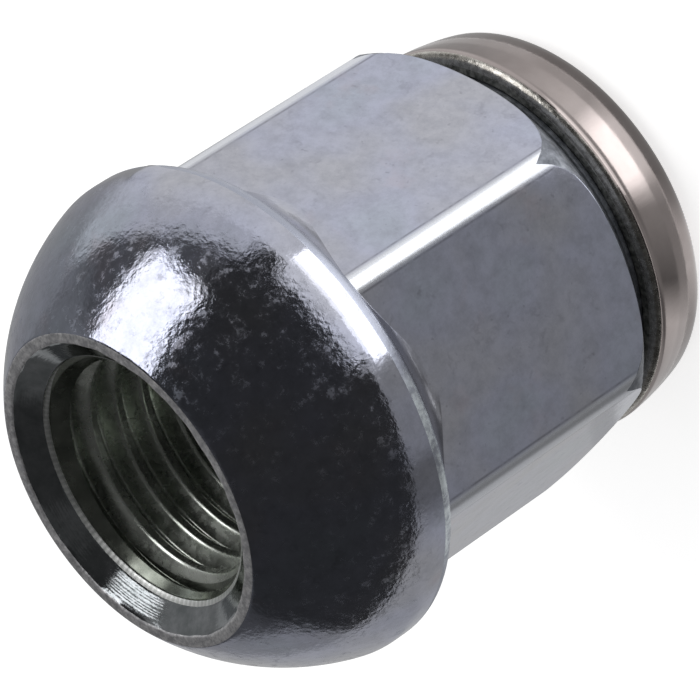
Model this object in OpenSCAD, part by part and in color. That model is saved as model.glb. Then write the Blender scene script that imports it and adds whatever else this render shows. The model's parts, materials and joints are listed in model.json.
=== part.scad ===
// Capped wheel nut with a ball seat: a steel body and a drawn cap pressed on behind it.
// The nut stands on its cap. Z = 0 is the cap's crown and +Z points out of the threaded mouth.

/* [Hexagon] */
// Spanner size across the flats
across_flats = 19; // [17:0.5:20]
// Rounding of the six long corners
corner_r = 0.8; // [0.3:0.1:1.5]
// Angle of the turned chamfer at the rear corners, measured from the axis
chamfer_angle = 35; // [25:1:60]
// Step from the flats in to the chamfer's small end
chamfer_step = 0.05; // [0.02:0.01:0.5]
// Length of the steep cone behind the chamfer
neck_h = 0.84; // [0.4:0.02:1.5]
// Length of the body from the chamfer's small end to the mouth
body_l = 21.8; // [18:0.1:30]

/* [Ball seat and flange] */
// Radius of the ball that the seat is part of
seat_r = 12; // [11.5:0.1:14]
// Step from the ball's full radius in to the flange's rim
rim_step = 0.4; // [0.1:0.05:0.7]
// Width of the straight rim round the flange
rim_w = 0.95; // [0.3:0.05:2]
// Rounding of the flange's rear edge
lip_r = 0.8; // [0.4:0.1:1.2]
// Radius of the hollow flare between the flange and the flats
flare_r = 3.5; // [2:0.1:5]
// Depth below the flats at which the flare runs out
flare_sink = 0.1; // [0.05:0.05:0.4]

/* [Thread and mouth] */
// Nominal diameter of the thread
thread_d = 12; // [10:0.5:14]
// Pitch of the thread
thread_pitch = 1.5; // [1:0.25:2]
// Step from the thread's nominal radius out to the countersink's edge
countersink_step = 1.05; // [0.5:0.05:1.5]
// Full angle of the countersink
countersink_angle = 100; // [80:5:130]
// Width of the flat land round the countersink
land_w = 0.45; // [0.2:0.05:1.5]
// Step from the thread's nominal radius in to the lead-in's wide end
lead_step = 0.15; // [0.05:0.05:0.45]
// Full angle of the lead-in between the countersink and the thread
lead_angle = 60; // [40:5:75]

/* [End cap] */
// Inset of the cap's rim from the flats, so that a socket passes over it
cap_inset = 0.02; // [0:0.01:0.5]
// Height of the cap from its crown to its rim
cap_h = 3.86; // [3:0.02:6]
// Thickness of the cap's sheet
sheet_t = 0.95; // [0.5:0.05:1.3]
// Radius of the bowed wall
wall_r = 13; // [8:0.5:30]
// Lean of the wall at the rim
wall_lean = 2; // [0:0.5:4]
// Outer rounding between the wall and the crown
crown_r = 1.55; // [1.35:0.05:2.5]
// Outer rounding of the cap's rim
edge_r = 0.3; // [0.1:0.05:0.4]
// Gap between the steep cone's end and the cap's rim
cap_gap = 0.3; // [0.1:0.02:1]
// Length of the spigot inside the cap
cap_grip = 1.36; // [0.8:0.02:1.8]
// Radial clearance between the spigot and the cap
cap_fit = 0.02; // [0:0.01:0.05]

/* [Hidden] */
$fn = 96;
// Overrun that keeps cuts clear of the faces they start from
eps = 0.5;
// Overlap of two arcs that run into each other, so that they cross cleanly
arc_lap = 0.001;

// Heights along the axis
neck_z = cap_h + cap_gap;
hex_z = neck_z + neck_h;
mouth_z = hex_z + body_l;
spigot_z = cap_h - cap_grip;

// Thread and mouth: the plain bore has the minor diameter of a metric thread
bore_r = (thread_d - 1.0825 * thread_pitch) / 2;
countersink_r = thread_d / 2 + countersink_step;
land_r = countersink_r + land_w;
lead_r = thread_d / 2 - lead_step;
lead_z = mouth_z - (countersink_r - lead_r) / tan(countersink_angle / 2);
bore_z = lead_z - (lead_r - bore_r) / tan(lead_angle / 2);

// Ball seat: it starts at the land's edge and ends where it reaches the rim
flange_r = seat_r - rim_step;
seat_z = mouth_z - sqrt(seat_r * seat_r - land_r * land_r);
rim_z = seat_z + sqrt(seat_r * seat_r - flange_r * flange_r);

// Flange's rear: a convex lip that runs into a hollow flare
flats_r = across_flats / 2;
lip_z = rim_z - rim_w;
lip_axis_r = flange_r - lip_r;
flare_axis_r = flats_r - flare_sink + flare_r;
flare_z = lip_z - sqrt(pow(lip_r + flare_r - arc_lap, 2) - pow(flare_axis_r - lip_axis_r, 2));

// Cap's wall: an arc that starts at the rim, its centre across the axis
cap_r = flats_r - cap_inset;
cap_bore_r = cap_r - sheet_t;
spigot_r = cap_bore_r - cap_fit;
wall_axis_r = cap_r - wall_r * cos(wall_lean);
wall_axis_z = cap_h + wall_r * sin(wall_lean);
edge_z = cap_h - edge_r;

// Flat outline of the hexagon with its corners rounded by true arcs
module hex_outline() {
    round_axis = (flats_r - corner_r) / cos(30);
    points = [
        for (i = [0:5])
            for (side = [-30, 30])
                round_axis * [cos(60 * i), sin(60 * i)]
                    + corner_r * [cos(60 * i + side), sin(60 * i + side)]
    ];
    polygon(points);
    for (i = [0:5])
        rotate(60 * i)
            translate([round_axis, 0])
                circle(r = corner_r);
}

// Hexagonal bar that runs into the flange, its rear turned to a chamfer and a steep cone
module hexagon() {
    end_r = flats_r - chamfer_step;
    start_r = spigot_r - eps;
    start_z = neck_z - eps * neck_h / (end_r - spigot_r);
    intersection() {
        translate([0, 0, start_z])
            linear_extrude(height = lip_z - start_z)
                hex_outline();
        rotate_extrude()
            polygon([
                [0, start_z],
                [start_r, start_z],
                [end_r, hex_z],
                [end_r + (lip_z - hex_z) * tan(chamfer_angle), lip_z],
                [0, lip_z]
            ]);
    }
}

// Half section of the turned front: ball seat and rim, lip, then flare
module front_section() {
    intersection() {
        translate([0, seat_z])
            circle(r = seat_r);
        translate([0, lip_z])
            square([flange_r, mouth_z - lip_z]);
    }
    translate([lip_axis_r, lip_z])
        circle(r = lip_r);
    difference() {
        polygon([
            [0, flare_z],
            [flare_axis_r, flare_z],
            [lip_axis_r, lip_z],
            [lip_axis_r, rim_z],
            [0, rim_z]
        ]);
        translate([flare_axis_r, flare_z])
            circle(r = flare_r);
    }
}

// Conical cut that widens upwards, run on past both of its edges
module cone_cut(low_r, low_z, high_r, high_z) {
    overrun_r = eps * (high_r - low_r) / (high_z - low_z);
    translate([0, 0, low_z - eps])
        cylinder(h = high_z - low_z + 2 * eps, r1 = low_r - overrun_r, r2 = high_r + overrun_r);
}

module nut_body() {
    color([0.62, 0.65, 0.72])
        difference() {
            union() {
                rotate_extrude()
                    front_section();
                hexagon();
                translate([0, 0, spigot_z])
                    cylinder(h = hex_z - spigot_z + eps, r = spigot_r);
            }
            translate([0, 0, spigot_z - eps])
                cylinder(h = mouth_z - spigot_z + 2 * eps, r = bore_r);
            cone_cut(bore_r, bore_z, lead_r, lead_z);
            cone_cut(lead_r, lead_z, countersink_r, mouth_z);
        }
}

// Radius at which a rounding of the given height is centred, so that it runs into a bowed wall
function rounding_axis(outer_r, round_r, round_z) =
    wall_axis_r + sqrt(pow(outer_r - round_r, 2) - pow(wall_axis_z - round_z, 2)) + arc_lap;

// Height at which that rounding runs into the wall
function rounding_end(outer_r, round_r, round_z) =
    wall_axis_z - (wall_axis_z - round_z) * outer_r / (outer_r - round_r);

// Half section of a cup: a flat floor, a round corner and the bowed wall up to the given height
module cup_section(outer_r, round_r, floor_z, top_z) {
    round_z = floor_z + round_r;
    axis_r = rounding_axis(outer_r, round_r, round_z);
    wall_z = rounding_end(outer_r, round_r, round_z);
    intersection() {
        translate([wall_axis_r, wall_axis_z])
            circle(r = outer_r);
        translate([0, wall_z])
            square([cap_r + eps, top_z - wall_z]);
    }
    translate([0, floor_z])
        square([axis_r, top_z - floor_z]);
    translate([axis_r, round_z])
        circle(r = round_r);
}

// Half section of the cap's rim, rounded on its outside
module rim_section() {
    axis_r = rounding_axis(wall_r, edge_r, edge_z);
    translate([0, edge_z - edge_r])
        square([axis_r, 2 * edge_r]);
    translate([axis_r, edge_z])
        circle(r = edge_r);
}

module end_cap() {
    color([0.66, 0.63, 0.6])
        difference() {
            rotate_extrude() {
                cup_section(wall_r, crown_r, 0, rounding_end(wall_r, edge_r, edge_z));
                rim_section();
            }
            rotate_extrude()
                cup_section(wall_r - sheet_t, crown_r - sheet_t, sheet_t, spigot_z + eps);
            translate([0, 0, spigot_z])
                cylinder(h = cap_grip + eps, r = cap_bore_r);
        }
}

nut_body();
end_cap();
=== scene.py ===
"""Looks of the capped wheel nut: a plated, threaded body and a drawn stainless cap."""
import json
import math

import bmesh
import bpy
import numpy as np
from mathutils import Matrix, Quaternion, Vector


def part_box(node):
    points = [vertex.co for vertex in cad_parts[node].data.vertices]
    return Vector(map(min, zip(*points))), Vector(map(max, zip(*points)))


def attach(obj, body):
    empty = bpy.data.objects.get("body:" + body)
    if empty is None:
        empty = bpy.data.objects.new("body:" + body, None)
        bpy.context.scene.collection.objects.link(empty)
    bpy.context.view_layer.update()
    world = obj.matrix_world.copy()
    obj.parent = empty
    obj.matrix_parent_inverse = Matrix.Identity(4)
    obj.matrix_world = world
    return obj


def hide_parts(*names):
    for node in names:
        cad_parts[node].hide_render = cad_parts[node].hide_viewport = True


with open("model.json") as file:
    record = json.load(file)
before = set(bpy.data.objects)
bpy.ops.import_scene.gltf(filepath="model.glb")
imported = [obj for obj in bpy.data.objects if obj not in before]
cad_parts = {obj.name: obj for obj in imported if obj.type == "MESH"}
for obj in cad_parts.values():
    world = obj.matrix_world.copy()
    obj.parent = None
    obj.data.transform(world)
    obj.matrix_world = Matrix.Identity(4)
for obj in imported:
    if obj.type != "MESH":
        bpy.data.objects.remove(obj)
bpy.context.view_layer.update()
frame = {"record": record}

MM = 0.001

# Sizes read from the frame, in millimetres
body_low, body_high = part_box("nut_body")
_, cap_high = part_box("end_cap")
thread = next(m for m in frame["record"]["mounts"] if m["name"] == "thread")
MOUTH_Z = body_high.z / MM
SPIGOT_Z = body_low.z / MM
CAP_H = cap_high.z / MM
FLANGE_R = round(body_high.x / MM, 2)
BORE_R = thread["dims"]["r_mm"]

# Sizes of the body that the frame's boxes don't give, in millimetres
FLATS_R = 9.5
CORNER_R = 0.8
CAP_GAP = 0.3
NECK_H = 0.84
NECK_Z = CAP_H + CAP_GAP
HEX_Z = NECK_Z + NECK_H
CHAMFER_ROUND = 2.9
CHAMFER_STEP = 0.05
CHAMFER_R = FLATS_R - CHAMFER_STEP
SEAT_R = 12.0
RIM_W = 0.95
LIP_R = 0.8
FLARE_R = 3.5
FLARE_SINK = 0.1
FLARE_ROOT_R = FLATS_R - FLARE_SINK
THREAD_R = 6.0
PITCH = 1.5
FLANK_ANGLE = math.radians(30)
COUNTERSINK_R = 7.05
COUNTERSINK_ANGLE = math.radians(50)
LEAD_STEP = 0.15
LEAD_R = THREAD_R - LEAD_STEP
LEAD_ANGLE = math.radians(30)
LAND_R = 7.5
SPIGOT_R = 8.51

# Sizes of the cap, in millimetres
CAP_INSET = 0.02
CAP_R = FLATS_R - CAP_INSET
EDGE_R = 0.45
# Where the cut edge's lighter copy, painted light, gives way to its darker copy, painted shade
LIT_COPY_R = 8.95
LIT_COPY_LIFT = math.radians(28)
SHEET_T = 0.95
WALL_R = 13.0
WALL_LEAN = math.radians(2)
CROWN_R = 1.55

# How far each edge is softened to both sides, in millimetres
SPIGOT_SOFT = 0.15
NECK_SOFT = 0.1
RIM_SOFT = 0.3
LAND_SOFT = 0.1
MOUTH_SOFT = 0.05
SHEET_SOFT = 0.06

# Points closer than this are joined, in millimetres
WELD = 0.0005

# The photo's camera, from the nut's axis and mouth in the picture
IMAGE_PX = 700
FOCAL_PX = 5250
SENSOR_MM = 36
AXIS_ANGLE = math.radians(33.51)
AXIS_TILT = math.radians(33.16)
HEX_TURN = math.radians(-10.51)
MOUTH_PX = (125.99, 491.86)
PX_PER_MM = 23.841

# Columns round the axis: close together on the rounded corners, wider apart on the flats
SIDES = 6
SIDE_TURN = math.radians(60)
HALF_TURN = math.radians(30)
CORNER_COLUMNS = 5
FLAT_COLUMNS = 13
CORNER_AXIS_R = (FLATS_R - CORNER_R) / math.cos(HALF_TURN)
CORNER_TOP_R = CORNER_AXIS_R + CORNER_R
CORNER_SPAN = math.atan2(CORNER_R / 2, CORNER_AXIS_R + CORNER_R * math.cos(HALF_TURN))
half_sector = np.concatenate([
    np.linspace(0, CORNER_SPAN, CORNER_COLUMNS),
    np.linspace(CORNER_SPAN, HALF_TURN, FLAT_COLUMNS)[1:],
])
sector = np.concatenate([half_sector, SIDE_TURN - half_sector[-2:0:-1]])
COLUMNS = np.concatenate([sector + SIDE_TURN * i for i in range(SIDES)])


def hexagon_radius(angle):
    """Radius of the round-cornered hexagon in each direction."""
    off = np.abs((angle + HALF_TURN) % SIDE_TURN - HALF_TURN)
    flat = FLATS_R / np.cos(HALF_TURN - off)
    root = np.sqrt(np.maximum(CORNER_R ** 2 - (CORNER_AXIS_R * np.sin(off)) ** 2, 0))
    return np.where(off < CORNER_SPAN, CORNER_AXIS_R * np.cos(off) + root, flat)


def arc(centre, radius, start, end, count):
    """Points (r, z) along an arc, its angles counted from +r towards +z."""
    turn = np.linspace(start, end, count)
    return np.stack([centre[0] + radius * np.cos(turn), centre[1] + radius * np.sin(turn)], 1)


def line(start, end, count):
    """Points (r, z) along a straight line."""
    share = np.linspace(0, 1, count)[:, None]
    return np.array(start) * (1 - share) + np.array(end) * share


def softened(before, after, reach, count=5):
    """Joins two polylines that share a corner, with the corner rounded over the given reach."""
    corner = np.array(after[0], float)
    head = [q for q in before if math.dist(q, corner) > reach]
    tail = [q for q in after if math.dist(q, corner) > reach]
    into = corner + (head[-1] - corner) * reach / math.dist(head[-1], corner)
    out = corner + (tail[0] - corner) * reach / math.dist(tail[0], corner)
    share = np.linspace(0, 1, count)[:, None]
    bend = into * (1 - share) ** 2 + corner * 2 * share * (1 - share) + out * share ** 2
    return np.concatenate([head, bend, tail])


def ring_points(radius, height, angles):
    """Points of one ring, in metres."""
    radius = np.broadcast_to(radius, angles.shape)
    height = np.broadcast_to(height, angles.shape)
    return np.stack([radius * np.cos(angles), radius * np.sin(angles), height], 1) * MM


def grid_faces(rows, columns, closed):
    """Quads between neighbouring rows, round the axis if closed."""
    row, column = np.mgrid[0:rows - 1, 0:columns if closed else columns - 1]
    beside = (column + 1) % columns
    quads = [row * columns + column, row * columns + beside,
             (row + 1) * columns + beside, (row + 1) * columns + column]
    return np.stack(quads, -1).reshape(-1, 4)


def mesh_object(name, patches, materials):
    """One closed mesh of patches (points of rows x columns, closed, material index for each row)."""
    points, faces, indices = [], [], []
    for grid, closed, row_materials in patches:
        rows, columns = grid.shape[:2]
        offset = sum(len(p) for p in points)
        quads = grid_faces(rows, columns, closed)
        points.append(grid.reshape(-1, 3))
        faces.append(quads + offset)
        indices.append(np.repeat(row_materials, len(quads) // (rows - 1)))
    mesh = bpy.data.meshes.new(name)
    mesh.from_pydata(np.concatenate(points).tolist(), [], np.concatenate(faces).tolist())
    for material in materials:
        mesh.materials.append(material)
    mesh.polygons.foreach_set("material_index", np.concatenate(indices).astype(np.int32))
    work = bmesh.new()
    work.from_mesh(mesh)
    bmesh.ops.remove_doubles(work, verts=work.verts, dist=WELD * MM)
    bmesh.ops.dissolve_degenerate(work, edges=work.edges, dist=WELD * MM)
    bmesh.ops.recalc_face_normals(work, faces=work.faces)
    work.to_mesh(mesh)
    work.free()
    mesh.shade_smooth()
    piece = bpy.data.objects.new(name, mesh)
    bpy.context.scene.collection.objects.link(piece)
    return piece


# Body

seat_z = MOUTH_Z - math.sqrt(SEAT_R ** 2 - LAND_R ** 2)
rim_z = seat_z + math.sqrt(SEAT_R ** 2 - FLANGE_R ** 2)
lip_z = rim_z - RIM_W
lip_axis = (FLANGE_R - LIP_R, lip_z)
flare_axis_r = FLARE_ROOT_R + FLARE_R
flare_z = lip_z - math.sqrt((LIP_R + FLARE_R) ** 2 - (flare_axis_r - lip_axis[0]) ** 2)
flare_turn = math.atan2(lip_z - flare_z, lip_axis[0] - flare_axis_r)
countersink_slope = math.tan(COUNTERSINK_ANGLE)
lead_slope = math.tan(LEAD_ANGLE)
lead_z = MOUTH_Z - (COUNTERSINK_R - LEAD_R) / countersink_slope
lead_foot_z = lead_z - (LEAD_R - BORE_R) / lead_slope

# Marks of the tools: grooves on the countersink and a bead at its foot
GROOVE_PITCH = 0.13
GROOVE_DEPTH = 0.0004
GROOVE_START = 0.08
GROOVE_SWAY = 1.5
GROOVE_SWAY_RATE = 11
BEAD_DEPTH = 0.025
BEAD_REACH = 0.12
BEAD_SHARE = 0.8
BEAD_LIFT = 0.03
BEAD_STEP = 0.15
BEAD_Z = lead_z + BEAD_LIFT
BEAD_TOP_R = THREAD_R + BEAD_STEP
bead_top_z = lead_z + (BEAD_TOP_R - LEAD_R) / countersink_slope

# Waves round the land's inner edge, as (count, start, size), and a burr on the flange's rim
WEAR = ((7, 0.4, 0.03), (17, 2.0, 0.025), (31, 4.0, 0.02))
WEAR_REACH = 0.1
WEAR_DEPTH = 0.2
BURR_ANGLE = math.radians(57)
BURR_SPAN = math.radians(3)
BURR_H = 0.15
BURR_REACH = 0.6

# Rows along the chamfer, the flats and the flare, as shares of their length
CHAMFER_SHARES = (0.03, 0.25, 0.5, 0.75, 0.97, 1.0)
FLAT_SHARES = (0.004, *np.linspace(0, 1, 13)[1:-1], 0.996, 1.0)
FLARE_SHARES = (0.015, *np.linspace(0, 1, 9)[1:-1])

# Rows over half a turn of the thread, as shares of the pitch from the crest's middle
THREAD_STEPS = np.array([0.08, 0.10, 0.155, 0.18, 0.41, 0.46])
THREAD_ROOM = 0.1
CUT_ROWS = 52

# Overlaps by which rows are sorted to the land, the ball and the lip
LAND_MARGIN = 0.05
BALL_MARGIN = 0.1
LIP_MARGIN = 0.02


def thread_radius(angle, height):
    """Radius of the internal thread's wall: flat crests and roots with flanks of 30 degrees."""
    phase = (height / PITCH - angle / (2 * math.pi)) % 1
    off_crest = np.abs(phase - 0.5) * PITCH
    flank = (off_crest - PITCH / 8) / math.tan(FLANK_ANGLE)
    return np.clip(BORE_R + flank, BORE_R, THREAD_R)


def mouth_radius(height):
    """Radius of the turned mouth without its thread: the countersink, the bead and the lead-in."""
    cone = COUNTERSINK_R - (MOUTH_Z - height) * countersink_slope
    lead = LEAD_R - (lead_z - height) * lead_slope
    bead = BEAD_DEPTH * max(0.0, 1 - ((height - BEAD_Z) / BEAD_REACH) ** 2)
    return max(cone, lead) - bead


def worn_ring(radius, height):
    """A ring of the front, uneven at the land's inner edge and with a burr on the rim."""
    is_mouth = height > MOUTH_Z - WEAR_DEPTH
    near = math.exp(-((radius - COUNTERSINK_R) / WEAR_REACH) ** 2) if is_mouth else 0.0
    wobble = sum(size * np.sin(count * COLUMNS + start) for count, start, size in WEAR)
    on_rim = math.exp(-((height - lip_z - RIM_W / 2) / BURR_REACH) ** 4)
    burr = BURR_H * on_rim * np.exp(-((COLUMNS - BURR_ANGLE) / BURR_SPAN) ** 4)
    return ring_points(radius + near * wobble + burr, height, COLUMNS)


def chamfer_turn(radius):
    """Angle along the rounded chamfer, from the hexagon's corner, at which it has the given radius."""
    return np.arccos(1 - (CORNER_TOP_R - radius) / CHAMFER_ROUND)


def rear_rows():
    """Spigot, steep cone, rounded chamfer, flats and flare, and how many rows come before the flats."""
    outline = hexagon_radius(COLUMNS)
    first_turn = chamfer_turn(CHAMFER_R)
    last_turn = chamfer_turn(np.minimum(outline, CORNER_TOP_R))
    chamfer_z = HEX_Z + CHAMFER_ROUND * (np.sin(first_turn) - np.sin(last_turn))
    flat_end_z = flare_z + np.sqrt(FLARE_R ** 2 - (flare_axis_r - outline) ** 2)
    neck = line((SPIGOT_R, NECK_Z), (CHAMFER_R, HEX_Z), 6)
    side = line((SPIGOT_R, SPIGOT_Z), (SPIGOT_R, NECK_Z), 6)
    end = line((THREAD_R, SPIGOT_Z), (SPIGOT_R, SPIGOT_Z), 6)
    plain = softened(softened(end, side, SPIGOT_SOFT), neck, NECK_SOFT)
    rows = [ring_points(r, z, COLUMNS) for r, z in plain]
    for share in CHAMFER_SHARES:
        turn = first_turn + (last_turn - first_turn) * share
        outward = CHAMFER_ROUND * (np.cos(turn) - np.cos(first_turn))
        forward = CHAMFER_ROUND * (np.sin(first_turn) - np.sin(turn))
        rows.append(ring_points(CHAMFER_R + outward, HEX_Z + forward, COLUMNS))
    end_count = len(rows) - 1
    for share in FLAT_SHARES:
        rows.append(ring_points(outline, chamfer_z + (flat_end_z - chamfer_z) * share, COLUMNS))
    start_turn = np.arctan2(flat_end_z - flare_z, outline - flare_axis_r)
    for share in FLARE_SHARES:
        turn = start_turn + (flare_turn - start_turn) * share
        rows.append(ring_points(flare_axis_r + FLARE_R * np.cos(turn),
                                flare_z + FLARE_R * np.sin(turn), COLUMNS))
    return rows, end_count


def front_rows():
    """Half section (r, z) of the lip, the rim, the ball seat, the land and the grooved countersink."""
    lip = arc(lip_axis, LIP_R, flare_turn - math.pi, 0, 10)
    rim = line((FLANGE_R, lip_z), (FLANGE_R, rim_z), 4)
    rim_turn = math.atan2(rim_z - seat_z, FLANGE_R)
    land_turn = math.atan2(MOUTH_Z - seat_z, LAND_R)
    ball = arc((0, seat_z), SEAT_R, rim_turn, land_turn, 30)
    land = line((LAND_R, MOUTH_Z), (COUNTERSINK_R, MOUTH_Z), 5)
    cone = line((COUNTERSINK_R, MOUTH_Z), (BEAD_TOP_R, bead_top_z), 50)
    outside = softened(np.concatenate([lip[:-1], rim]), ball, RIM_SOFT)
    seat = softened(outside, land, LAND_SOFT)
    mouth = softened(seat, cone, MOUTH_SOFT)
    is_cone = mouth[:, 0] < COUNTERSINK_R - GROOVE_START
    along = (COUNTERSINK_R - mouth[:, 0]) / math.sin(COUNTERSINK_ANGLE)
    uneven = GROOVE_SWAY * np.sin(along * GROOVE_SWAY_RATE)
    groove = GROOVE_DEPTH * np.cos(2 * math.pi * along / GROOVE_PITCH + uneven) * is_cone
    groove[-1] = 0
    mouth[:, 0] += groove * math.cos(COUNTERSINK_ANGLE)
    mouth[:, 1] -= groove * math.sin(COUNTERSINK_ANGLE)
    return mouth


def thread_patches():
    """The thread: a sheared grid along the helix, then level rows where the lead-in cuts it."""
    level_z = lead_foot_z - THREAD_ROOM
    angles = np.append(COLUMNS, 2 * math.pi)
    rise = angles / (2 * math.pi) * PITCH
    steps = np.concatenate([[-0.5], -THREAD_STEPS[::-1], THREAD_STEPS])
    turns = np.arange(math.floor(SPIGOT_Z / PITCH) - 1, math.ceil(level_z / PITCH) + 1)
    starts = ((turns[:, None] + 0.5 + steps[None, :]) * PITCH).ravel()
    height = np.clip(starts[:, None] + rise[None, :], SPIGOT_Z, level_z)
    radius = thread_radius(angles[None, :], height)
    helix = [ring_points(radius[i], height[i], angles) for i in range(len(starts))]
    cut = []
    cut_z = np.linspace(level_z, bead_top_z, CUT_ROWS)
    for z in cut_z:
        wall = np.maximum(thread_radius(COLUMNS, z), mouth_radius(z))
        cut.append(ring_points(wall, z, COLUMNS))
    return np.array(helix), np.array(cut), cut_z


def make_body(materials):
    """The plated body as one closed mesh with its thread."""
    hexagon, rear_end, lip, rim, ball, land, turned, bead, lead, inside = range(10)
    rear, end_count = rear_rows()
    front = front_rows()
    front_rings = [worn_ring(r, z) for r, z in front]
    skin = np.array(rear + front_rings)
    is_land = (front[:-1, 1] > MOUTH_Z - LAND_MARGIN) & (front[:-1, 0] < LAND_R)
    is_cone = front[:-1, 0] < COUNTERSINK_R
    is_ball = front[:-1, 1] > rim_z - BALL_MARGIN
    is_lip = front[:-1, 1] < lip_z - LIP_MARGIN
    skin_rows = [rear_end] * end_count + [hexagon] * (len(rear) - end_count)
    skin_rows += list(np.select([is_land, is_cone, is_ball, is_lip],
                                [land, turned, ball, lip], rim))
    helix, cut, cut_z = thread_patches()
    on_bead = np.abs(cut_z[:-1] - BEAD_Z) < BEAD_REACH * BEAD_SHARE
    cut_rows = np.select([on_bead, cut_z[:-1] > lead_z, cut_z[:-1] > lead_foot_z],
                         [bead, turned, lead], inside)
    end_ring = ring_points(thread_radius(COLUMNS, SPIGOT_Z), SPIGOT_Z, COLUMNS)
    end = np.array([end_ring, skin[0]])
    return mesh_object("plated_nut", [
        (skin, True, skin_rows),
        (helix, False, [inside] * (len(helix) - 1)),
        (cut, True, cut_rows),
        (end, True, [rear_end]),
    ], materials)


# Cap

wall_axis = (CAP_R - WALL_R * math.cos(WALL_LEAN), CAP_H + WALL_R * math.sin(WALL_LEAN))


def cup_lines(outer_r, round_r, floor_z, top_z):
    """Floor, corner arc and bowed wall of a cup, from the axis up to the given height."""
    reach = outer_r - round_r
    round_z = floor_z + round_r
    round_axis_r = wall_axis[0] + math.sqrt(reach ** 2 - (wall_axis[1] - round_z) ** 2)
    wall_start = -math.asin((wall_axis[1] - round_z) / reach)
    wall_end = -math.asin((wall_axis[1] - top_z) / outer_r)
    floor = line((0.01, floor_z), (round_axis_r, floor_z), 12)
    corner = arc((round_axis_r, round_z), round_r, -math.pi / 2, wall_start, 14)
    wall = arc(wall_axis, outer_r, wall_start, wall_end, 14)
    return np.concatenate([floor, corner[1:], wall[1:]])


def make_cap(materials):
    """The drawn cap with its cut edge, which is rounded on the outside."""
    drawn, lit_edge_copy, shaded_edge_copy = range(3)
    bore_r = CAP_R - SHEET_T
    edge_z = CAP_H - EDGE_R
    edge_drop = wall_axis[1] - edge_z
    edge_axis_r = wall_axis[0] + math.sqrt((WALL_R - EDGE_R) ** 2 - edge_drop ** 2)
    edge_start = -math.asin(edge_drop / (WALL_R - EDGE_R))
    outer = cup_lines(WALL_R, CROWN_R, 0, wall_axis[1] + WALL_R * math.sin(edge_start))
    inner = cup_lines(WALL_R - SHEET_T, CROWN_R - SHEET_T, SHEET_T, SPIGOT_Z)
    rounding = arc((edge_axis_r, edge_z), EDGE_R, edge_start, math.pi / 2, 12)
    edge = line((edge_axis_r, CAP_H), (bore_r, CAP_H), 6)
    bore = line((bore_r, CAP_H), (bore_r, SPIGOT_Z), 5)
    step = line((bore_r, SPIGOT_Z), inner[-1], 2)
    rim = softened(np.concatenate([outer, rounding[1:], edge[1:]]), bore, SHEET_SOFT)
    section = np.concatenate([rim, step[1:], inner[-2::-1]])
    rings = np.array([ring_points(r, z, COLUMNS) for r, z in section])
    middle = (section[:-1] + section[1:]) / 2
    # A lighter copy of the cut edge on its rounded outer part is painted light; a darker copy on its
    # flat inner part and the bore is painted shade
    is_edge = middle[:, 1] > edge_z + EDGE_R * math.sin(LIT_COPY_LIFT)
    is_bore = (middle[:, 1] > SPIGOT_Z) & (middle[:, 0] < bore_r + 0.01)
    is_shaded_edge_copy = is_bore | (is_edge & (middle[:, 0] < LIT_COPY_R))
    rows = np.select([is_shaded_edge_copy, is_edge], [shaded_edge_copy, lit_edge_copy], drawn)
    centre = [ring_points(0, z, COLUMNS) for z in (0, SHEET_T)]
    rings = np.concatenate([[centre[0]], rings, [centre[1]]])
    rows = np.concatenate([[drawn], rows, [drawn]])
    return mesh_object("drawn_cap", [(rings, True, rows)], materials)


# Materials


def colour_ramp(tree, value, stops):
    """A ramp over the value. Stops are (position, colour or grey level)."""
    node = tree.nodes.new("ShaderNodeValToRGB")
    elements = node.color_ramp.elements
    elements[0].position = stops[0][0]
    elements[1].position = stops[-1][0]
    for position, _ in stops[1:-1]:
        elements.new(position)
    for element, (position, colour) in zip(elements, stops):
        element.color = (*colour, 1) if hasattr(colour, "__len__") else (colour, colour, colour, 1)
    tree.links.new(value, node.inputs["Fac"])
    return node.outputs["Color"]


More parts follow.
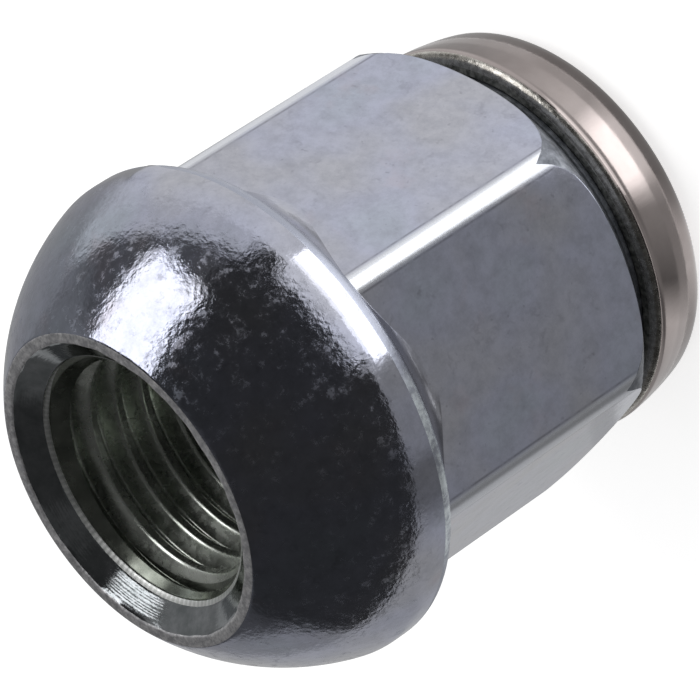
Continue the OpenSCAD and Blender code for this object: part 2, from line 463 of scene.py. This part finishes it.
class Shader:
    """A Principled material of metal and short ways to add nodes to it."""

    def __init__(self, name):
        self.material = bpy.data.materials.new(name)
        self.material.use_nodes = True
        self.tree = self.material.node_tree
        self.principled = self.tree.nodes["Principled BSDF"]
        self.principled.inputs["Metallic"].default_value = 1.0
        self.place = self.tree.nodes.new("ShaderNodeTexCoord").outputs["Object"]

    def link(self, output, name):
        """Feeds an output into one of the shader's own sockets."""
        self.tree.links.new(output, self.principled.inputs[name])

    def noise(self, size_mm, detail=3.0, roughness=0.55, stretch=(1, 1, 1), shift=0.0):
        """Noise with features of about the given size, fixed to the piece."""
        mapping = self.tree.nodes.new("ShaderNodeMapping")
        mapping.inputs["Scale"].default_value = stretch
        mapping.inputs["Location"].default_value = (shift, shift, shift)
        self.tree.links.new(self.place, mapping.inputs["Vector"])
        texture = self.tree.nodes.new("ShaderNodeTexNoise")
        texture.inputs["Scale"].default_value = 1 / (size_mm * MM)
        texture.inputs["Detail"].default_value = detail
        texture.inputs["Roughness"].default_value = roughness
        self.tree.links.new(mapping.outputs["Vector"], texture.inputs["Vector"])
        return texture.outputs[0]

    def notches(self, count, start=0.0):
        """A sine wave with the given count round the nut's axis, shifted by a share of a wave."""
        turn = self.tree.nodes.new("ShaderNodeTexGradient")
        turn.gradient_type = "RADIAL"
        self.tree.links.new(self.place, turn.inputs["Vector"])
        value = turn.outputs["Fac"]
        waves, shift = count * 2 * math.pi, start * 2 * math.pi
        for operation, number in (("MULTIPLY", waves), ("ADD", shift), ("SINE", 0.0)):
            node = self.tree.nodes.new("ShaderNodeMath")
            node.operation = operation
            node.inputs[1].default_value = number
            self.tree.links.new(value, node.inputs[0])
            value = node.outputs[0]
        return value

    def multiply(self, first, second):
        """The product of two outputs."""
        node = self.tree.nodes.new("ShaderNodeMath")
        node.operation = "MULTIPLY"
        self.tree.links.new(first, node.inputs[0])
        self.tree.links.new(second, node.inputs[1])
        return node.outputs[0]

    def ramp(self, value, stops):
        """A colour ramp in this material."""
        return colour_ramp(self.tree, value, stops)

    def mix(self, factor, first, second):
        """Mixes two colours. Each may be a socket or three numbers."""
        node = self.tree.nodes.new("ShaderNodeMix")
        node.data_type = "RGBA"
        sockets = (node.inputs[0], node.inputs[6], node.inputs[7])
        for value, socket in zip((factor, first, second), sockets):
            if isinstance(value, bpy.types.NodeSocket):
                self.tree.links.new(value, socket)
            elif hasattr(value, "__len__"):
                socket.default_value = (*value, 1)
            else:
                socket.default_value = value
        return node.outputs[2]

    def bump(self, height, depth_mm, under=None):
        """A normal bent by the height, on top of another normal if one is given."""
        node = self.tree.nodes.new("ShaderNodeBump")
        node.inputs["Strength"].default_value = 1.0
        node.inputs["Distance"].default_value = depth_mm * MM
        self.tree.links.new(height, node.inputs["Height"])
        if under is not None:
            self.tree.links.new(under, node.inputs["Normal"])
        return node.outputs["Normal"]


LAVENDER = (0.445, 0.462, 0.565)
TEAL = (0.39, 0.46, 0.50)
STRAW = (0.46, 0.45, 0.43)
STAIN = (0.46, 0.38, 0.41)
DULL = (0.25, 0.26, 0.30)
PIT = (0.13, 0.13, 0.15)
WORN = (0.76, 0.78, 0.82)
RUBBED_DULL = (0.34, 0.34, 0.34)


def plating(name, dent_mm, grain_mm, flake_share, flake_rough, corner_wear):
    """Blue-white zinc plating: faint clouds, stains, scuffs, dull flakes and worn corners."""
    shader = Shader(name)
    clouds = shader.noise(6.0, detail=2.0)
    tint = shader.ramp(clouds, [(0.34, STRAW), (0.5, LAVENDER), (0.68, TEAL)])
    plain = shader.mix(0.45, LAVENDER, tint)
    mottle = shader.noise(0.9, detail=8.0, roughness=0.78, shift=0.3)
    shade = shader.mix(shader.ramp(mottle, [(0.32, 0.5), (0.6, 1.0)]), DULL, plain)
    stains = shader.noise(2.6, detail=4.0, shift=0.7)
    stained = shader.mix(shader.ramp(stains, [(0.60, 0.0), (0.78, 0.4)]), shade, STAIN)
    lines = shader.ramp(shader.noise(1.7, detail=4.0, shift=0.6),
                        [(0.46, 0.0), (0.5, 1.0), (0.54, 0.0)])
    places = shader.ramp(shader.noise(1.0, detail=3.0, shift=0.8), [(0.54, 0.0), (0.66, 0.22)])
    scuffed = shader.mix(shader.multiply(lines, places), stained, PIT)
    specks = shader.noise(0.26, detail=1.0, shift=0.5)
    specked = shader.mix(shader.ramp(specks, [(0.70, 0.0), (0.82, 0.3)]), scuffed, PIT)
    corners = shader.notches(6, start=0.25)
    bared = shader.ramp(corners, [(0.962, 0.0), (0.985, corner_wear)])
    fringe = shader.ramp(corners, [(0.945, 0.0), (0.957, corner_wear), (0.968, 0.0)])
    ragged = shader.ramp(mottle, [(0.40, 0.1), (0.55, 0.8)])
    fringed = shader.mix(shader.multiply(fringe, ragged), specked, PIT)
    shader.link(shader.mix(bared, fringed, WORN), "Base Color")
    flakes = shader.noise(0.55, detail=7.0, roughness=0.72, shift=0.9)
    edge = 0.7 - 0.3 * flake_share
    gloss = shader.ramp(flakes, [(edge - 0.15, 0.08), (edge, 0.13), (edge + 0.12, flake_rough)])
    rubbed = shader.ramp(corners, [(0.94, 0.0), (0.985, corner_wear)])
    shader.link(shader.mix(rubbed, gloss, RUBBED_DULL), "Roughness")
    dents = shader.bump(shader.noise(1.1, detail=2.0, shift=0.2), dent_mm)
    shader.link(shader.bump(shader.noise(0.22, detail=3.0, shift=0.4), grain_mm, dents), "Normal")
    return shader.material


def dull_plating_painted_shade():
    """Duller, mottled plating on the rounded chamfer and the steep cone behind it, darkened as painted
    shade near the gap before the cap.
    """
    shader = Shader("dull_plating_painted_shade")
    patches = shader.noise(0.5, detail=7.0, roughness=0.75)
    # The dark tones here are painted shade
    shader.link(shader.mix(shader.ramp(patches, [(0.38, 0.0), (0.62, 1.0)]),
                           (0.12, 0.13, 0.15), (0.28, 0.295, 0.33)), "Base Color")
    shader.link(shader.ramp(shader.noise(0.4, detail=4.0), [(0.3, 0.42), (0.7, 0.58)]), "Roughness")
    shader.link(shader.bump(shader.noise(0.25, detail=3.0), 0.01), "Normal")
    return shader.material


def lip_painted_highlight():
    """Plating along the flange's rear edge, dull, with a pale, patchy painted highlight on one side."""
    shader = Shader("lip_painted_highlight")
    highlight_patches = shader.ramp(shader.noise(0.7, detail=6.0, roughness=0.7), [(0.40, 0.15), (0.56, 1.0)])
    # The pale colour on this one side of the lip is a painted highlight
    place = shader.ramp(shader.notches(1, start=-0.122), [(0.90, 0.0), (0.96, 1.0)])
    shader.link(shader.mix(shader.multiply(highlight_patches, place),
                           (0.36, 0.38, 0.45), (0.86, 0.93, 0.97)), "Base Color")
    shader.link(shader.ramp(shader.noise(0.4, detail=4.0), [(0.3, 0.24), (0.7, 0.42)]), "Roughness")
    shader.link(shader.bump(shader.noise(0.25, detail=3.0), 0.012), "Normal")
    return shader.material


def worn_land():
    """Worn, ragged flat round the mouth, with bright grains on dull metal."""
    shader = Shader("worn_land")
    shader.principled.inputs["Metallic"].default_value = 0.9
    grains = shader.noise(0.3, detail=6.0, roughness=0.75)
    shader.link(shader.mix(shader.ramp(grains, [(0.4, 0.0), (0.64, 1.0)]),
                           (0.50, 0.50, 0.52), (0.95, 0.94, 0.95)), "Base Color")
    shader.link(shader.ramp(shader.noise(0.4, detail=4.0), [(0.3, 0.40), (0.7, 0.60)]), "Roughness")
    shader.link(shader.bump(shader.noise(0.22, detail=4.0), 0.03), "Normal")
    return shader.material


def turned_steel():
    """Plated steel with dull and bright patches where a tool has turned the countersink."""
    shader = Shader("turned_plating")
    patches = shader.noise(0.8, detail=5.0, roughness=0.7)
    shader.link(shader.mix(shader.ramp(patches, [(0.35, 0.0), (0.65, 1.0)]),
                           (0.30, 0.325, 0.335), (0.46, 0.48, 0.50)), "Base Color")
    shader.link(shader.ramp(shader.noise(0.5, detail=4.0), [(0.3, 0.05), (0.7, 0.14)]), "Roughness")
    shader.link(shader.bump(shader.noise(0.25, detail=4.0), 0.004), "Normal")
    return shader.material


def notched_bead():
    """Bright bead at the countersink's foot, crossed by a tool's chatter marks."""
    shader = Shader("notched_bead")
    marks = shader.notches(132)
    shader.link(shader.mix(shader.ramp(marks, [(0.0, 0.0), (0.6, 1.0)]),
                           (0.80, 0.82, 0.80), (0.96, 0.97, 0.96)), "Base Color")
    shader.link(shader.ramp(shader.noise(0.4), [(0.3, 0.40), (0.7, 0.56)]), "Roughness")
    shader.link(shader.bump(marks, 0.002), "Normal")
    return shader.material


def thread_steel(name, dark, bright, dull):
    """Cut metal in the bore with a thin, slightly olive plating between two tones."""
    shader = Shader(name)
    shader.principled.inputs["Metallic"].default_value = 0.96
    patches = shader.noise(1.1, detail=5.0)
    shader.link(shader.mix(shader.ramp(patches, [(0.35, 0.0), (0.65, 1.0)]),
                           dark, bright), "Base Color")
    shader.link(shader.ramp(shader.noise(0.5, detail=4.0), [(0.3, dull), (0.7, 2 * dull)]), "Roughness")
    shader.link(shader.bump(shader.noise(0.35, detail=2.0), 0.003), "Normal")
    return shader.material


def drawn_stainless():
    """Smooth drawn stainless with faint draw lines along the wall."""
    shader = Shader("drawn_stainless")
    clouds = shader.noise(3.0, detail=4.0)
    shader.link(shader.mix(shader.ramp(clouds, [(0.35, 0.0), (0.65, 1.0)]),
                           (0.335, 0.293, 0.283), (0.395, 0.35, 0.34)), "Base Color")
    shader.link(shader.ramp(shader.noise(0.7, detail=4.0), [(0.3, 0.09), (0.7, 0.16)]), "Roughness")
    draw_lines = shader.noise(0.25, detail=3.0, stretch=(1, 1, 0.12))
    shader.link(shader.bump(draw_lines, 0.004), "Normal")
    return shader.material


def sheared_edge(name, dark, bright, dull):
    """Cut edge of the cap's sheet: uneven metal with grains between two tones."""
    shader = Shader(name)
    grains = shader.noise(0.3, detail=4.0, roughness=0.65)
    shader.link(shader.mix(shader.ramp(grains, [(0.38, 0.0), (0.66, 1.0)]),
                           dark, bright), "Base Color")
    shader.link(shader.ramp(shader.noise(0.4), [(0.3, dull), (0.7, dull + 0.15)]), "Roughness")
    shader.link(shader.bump(shader.noise(0.3, detail=3.0), 0.02), "Normal")
    return shader.material


nut = make_body([
    plating("hexagon_plating", 0.010, 0.004, 0.35, 0.28, corner_wear=0.8),
    dull_plating_painted_shade(),
    lip_painted_highlight(),
    plating("rim_plating", 0.010, 0.004, 0.35, 0.28, corner_wear=0.0),
    plating("mottled_plating", 0.018, 0.012, 0.55, 0.36, corner_wear=0.0),
    worn_land(),
    turned_steel(),
    notched_bead(),
    # The lead-in's dark tones are painted shade that hides the lamp's reflection there
    thread_steel("lead_in_plating_painted_shade", (0.17, 0.185, 0.16), (0.30, 0.32, 0.28), dull=0.16),
    # The thread's light tones are painted light that lifts the deep bore
    thread_steel("thread_plating_painted_light", (0.50, 0.53, 0.48), (0.70, 0.73, 0.68), dull=0.17),
])
cap = make_cap([
    drawn_stainless(),
    # Two copies of the cut edge: the lighter one is painted light, the darker one painted shade
    sheared_edge("edge_painted_light", (0.38, 0.36, 0.33), (0.66, 0.64, 0.60), dull=0.2),
    sheared_edge("edge_painted_shade", (0.13, 0.13, 0.115), (0.48, 0.47, 0.42), dull=0.40),
])
for piece, node, slot in ((nut, "nut_body", "plated_steel"), (cap, "end_cap", "drawn_stainless")):
    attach(piece, "root")
    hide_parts(node)


# Camera at the photo's place

def view_axes():
    """Right, up and back of the photo's view in the part's frame."""
    out = Vector((-math.cos(AXIS_TILT) * math.cos(AXIS_ANGLE),
                  -math.cos(AXIS_TILT) * math.sin(AXIS_ANGLE),
                  math.sin(AXIS_TILT)))
    across = Vector((math.sin(AXIS_ANGLE), -math.cos(AXIS_ANGLE), 0))
    near = out.cross(across)
    x_axis = near * math.cos(HEX_TURN) + across * math.sin(HEX_TURN)
    y_axis = near * math.sin(HEX_TURN) - across * math.cos(HEX_TURN)
    return Matrix((x_axis, y_axis, out)).transposed()


def make_camera(axes):
    """A long lens, placed so that the mouth's centre falls on its pixel."""
    mm_per_px = 1 / PX_PER_MM
    mouth_in_view = Vector(((MOUTH_PX[0] - IMAGE_PX / 2) * mm_per_px,
                            (IMAGE_PX / 2 - MOUTH_PX[1]) * mm_per_px,
                            -FOCAL_PX * mm_per_px))
    turn = axes.transposed()
    data = bpy.data.cameras.new("photo_camera")
    data.sensor_width = SENSOR_MM
    data.lens = FOCAL_PX * SENSOR_MM / IMAGE_PX
    data.clip_start = 0.005
    data.clip_end = 20
    camera = bpy.data.objects.new("photo_camera", data)
    place = (Vector((0, 0, MOUTH_Z)) - turn @ mouth_in_view) * MM
    camera.matrix_world = Matrix.Translation(place) @ turn.to_4x4()
    bpy.context.scene.collection.objects.link(camera)
    bpy.context.scene.camera = camera


make_camera(view_axes())


# Studio

STRIP_COLUMNS = 49
LAMP_AIM_Z = 20


def seen_rays(tree):
    """1 for rays by which the camera, a reflection or a clear body sees the surface, else 0."""
    path = tree.nodes.new("ShaderNodeLightPath")
    total = path.outputs["Is Camera Ray"]
    for name in ("Is Glossy Ray", "Is Transmission Ray"):
        add = tree.nodes.new("ShaderNodeMath")
        add.operation = "MAXIMUM"
        tree.links.new(total, add.inputs[0])
        tree.links.new(path.outputs[name], add.inputs[1])
        total = add.outputs[0]
    return total


def make_world(seen, lighting):
    """White to whatever sees it, and a plain level of light for the rest."""
    world = bpy.data.worlds.new("studio")
    bpy.context.scene.world = world
    world.use_nodes = True
    tree = world.node_tree
    background = tree.nodes["Background"]
    level = tree.nodes.new("ShaderNodeMapRange")
    level.inputs["To Min"].default_value = lighting
    level.inputs["To Max"].default_value = seen
    tree.links.new(seen_rays(tree), level.inputs["Value"])
    tree.links.new(level.outputs["Result"], background.inputs["Strength"])
    background.inputs["Color"].default_value = (1, 1, 1, 1)


def make_floor(size, glow):
    """Pale floor that keeps the shadow, with a glow that lifts it to white where it is seen."""
    material = bpy.data.materials.new("floor_paint")
    material.use_nodes = True
    tree = material.node_tree
    paint = tree.nodes["Principled BSDF"]
    paint.inputs["Roughness"].default_value = 0.9
    paint.inputs["Specular IOR Level"].default_value = 0.0
    paint.inputs["Emission Color"].default_value = (1, 1, 1, 1)
    place = tree.nodes.new("ShaderNodeTexCoord")
    cloud = tree.nodes.new("ShaderNodeTexNoise")
    cloud.inputs["Scale"].default_value = 40
    tree.links.new(place.outputs["Object"], cloud.inputs["Vector"])
    shade = tree.nodes.new("ShaderNodeValToRGB")
    shade.color_ramp.elements[0].color = (0.80, 0.80, 0.80, 1)
    shade.color_ramp.elements[1].color = (0.83, 0.83, 0.83, 1)
    tree.links.new(cloud.outputs[0], shade.inputs["Fac"])
    tree.links.new(shade.outputs["Color"], paint.inputs["Base Color"])
    scale = tree.nodes.new("ShaderNodeMath")
    scale.operation = "MULTIPLY"
    scale.inputs[1].default_value = glow
    tree.links.new(seen_rays(tree), scale.inputs[0])
    tree.links.new(scale.outputs[0], paint.inputs["Emission Strength"])
    mesh = bpy.data.meshes.new("floor")
    half = size / 2
    corners = [(-half, -half, 0), (half, -half, 0), (half, half, 0), (-half, half, 0)]
    mesh.from_pydata(corners, [], [(0, 1, 2, 3)])
    mesh.materials.append(material)
    floor = bpy.data.objects.new("floor", mesh)
    bpy.context.scene.collection.objects.link(floor)


def card(name, points, faces, level):
    """A studio card that only reflections see, with the given brightness."""
    material = bpy.data.materials.new(name)
    material.use_nodes = True
    tree = material.node_tree
    tree.nodes.remove(tree.nodes["Principled BSDF"])
    glow = tree.nodes.new("ShaderNodeEmission")
    glow.inputs["Strength"].default_value = level
    tree.links.new(glow.outputs[0], tree.nodes["Material Output"].inputs["Surface"])
    mesh = bpy.data.meshes.new(name)
    mesh.from_pydata([tuple(c * MM for c in p) for p in points], [], faces)
    mesh.materials.append(material)
    piece = bpy.data.objects.new(name, mesh)
    piece.visible_camera = False
    piece.visible_diffuse = False
    piece.visible_shadow = False
    bpy.context.scene.collection.objects.link(piece)
    return tree, glow


def bent_strip(name, edges, azimuths, level):
    """A card bent round the nut, between two edges given as (radius, height)."""
    turns = np.radians(np.linspace(*azimuths, STRIP_COLUMNS))
    points = [(r * math.cos(t), r * math.sin(t), z) for r, z in edges for t in turns]
    faces = [(i, i + 1, i + 1 + STRIP_COLUMNS, i + STRIP_COLUMNS) for i in range(STRIP_COLUMNS - 1)]
    return card(name, points, faces, level)


def toned_ring(name, edges, stops):
    """A card all round the nut whose tone changes with the azimuth. Stops are (azimuth, level)."""
    peak = max(level for azimuth, level in stops)
    tree, glow = bent_strip(name, edges, (-180, 180), peak)
    place = tree.nodes.new("ShaderNodeTexCoord")
    turn = tree.nodes.new("ShaderNodeTexGradient")
    turn.gradient_type = "RADIAL"
    tree.links.new(place.outputs["Object"], turn.inputs["Vector"])
    tones = [(azimuth / 360 + 0.5, level / peak) for azimuth, level in stops]
    tree.links.new(colour_ramp(tree, turn.outputs["Fac"], tones), glow.inputs["Color"])


def area_lamp(name, azimuth, elevation, distance, sides, roll, radiance):
    """A soft lamp with two sides that faces the nut's ball seat, rolled about its own axis."""
    turn, lift = math.radians(azimuth), math.radians(elevation)
    level = math.cos(lift)
    way = Vector((math.cos(turn) * level, math.sin(turn) * level, math.sin(lift)))
    data = bpy.data.lights.new(name, "AREA")
    data.shape = "RECTANGLE"
    data.size = sides[0] * MM
    data.size_y = sides[1] * MM
    data.energy = radiance * math.pi * data.size * data.size_y
    lamp = bpy.data.objects.new(name, data)
    lamp.location = (Vector((0, 0, LAMP_AIM_Z)) + way * distance) * MM
    lamp.rotation_mode = "QUATERNION"
    shaded_edge_copy = Quaternion((0, 0, 1), math.radians(roll))
    lamp.rotation_quaternion = way.to_track_quat("Z", "Y") @ shaded_edge_copy
    bpy.context.scene.collection.objects.link(lamp)


make_world(seen=1.0, lighting=0.55)
make_floor(size=3.0, glow=0.62)
area_lamp("key_lamp", azimuth=71, elevation=37.5, distance=92,
          sides=(70, 52), roll=57, radiance=2.3)

# A wall and a ceiling keep the room dark, apart from low bands of light, as the photo's reflections show
toned_ring("room_wall", [(105, 11), (105, 145)], [
    (-180, 0.12), (-140, 0.10), (-130, 0.04), (42, 0.04), (50, 0.10), (98, 0.12),
    (108, 0.24), (132, 0.26), (150, 0.14), (180, 0.12),
])
bent_strip("low_light", [(103, 9), (103, 31)], (40, 114), 0.75)
bent_strip("low_wall", [(104, 11), (104, 42)], (114, 225), 0.34)
bent_strip("ceiling_flag", [(40, 145), (105, 145)], (-180, 180), 0.04)
bent_strip("ceiling_light", [(1, 145), (40, 145)], (-180, 180), 0.07)

# Lights and toned mats near the floor that the ball, the rim, the hexagon and the cap reflect
bent_strip("front_light", [(55, 0.5), (55, 8)], (-18, 26), 2.1)
bent_strip("front_glow", [(55, 8), (55, 24)], (-18, 26), 1.1)
bent_strip("corner_light", [(16, 0.4), (36, 0.4)], (-21, 27), 1.7)
bent_strip("rim_light", [(36, 0.4), (55, 0.4)], (-21, 27), 2.9)
toned_ring("wide_mat", [(14.2, 0.2), (400, 0.2)], [
    (-180, 0.48), (-150, 0.5), (-92, 0.46), (-79, 0.20), (-64, 0.18), (-57, 0.33), (-26, 0.36),
    (-15, 1.0), (25, 1.0), (58, 0.95), (90, 0.9), (107, 0.8), (120, 0.38), (140, 0.34), (180, 0.42),
])
toned_ring("rim_mat", [(12.5, 0.2), (14.2, 0.2)], [
    (-180, 0.45), (-95, 0.4), (-60, 0.3), (-36, 0.3), (-24, 0.28), (-16, 0.45), (4, 0.6),
    (24, 0.7), (44, 0.8), (84, 0.6), (180, 0.45),
])
toned_ring("cap_mat", [(10.5, 0.2), (12.5, 0.2)], [
    (-180, 0.6), (-95, 0.6), (-71, 0.95), (-54, 0.18), (-36, 0.36), (-27, 0.45), (-22, 1.1),
    (-16, 3.0), (2, 3.0), (12, 1.15), (40, 0.75), (60, 0.5), (180, 0.5),
])
toned_ring("foot_mat", [(9.8, 0.2), (10.5, 0.2)], [
    (-180, 0.5), (-95, 0.55), (-71, 0.8), (-54, 0.4), (-28, 0.4), (-22, 0.6), (-16, 1.3), (2, 1.3),
    (12, 0.7), (40, 0.8), (60, 0.65), (180, 0.48),
])
toned_ring("crown_mat", [(8.3, 0.1), (9.8, 0.1)], [
    (-180, 0.45), (-70, 0.5), (-50, 0.9), (-38, 0.8), (-28, 0.4), (-18, 0.3),
    (15, 0.3), (45, 0.4), (180, 0.45),
])

scene = bpy.context.scene
scene.view_settings.view_transform = "Standard"
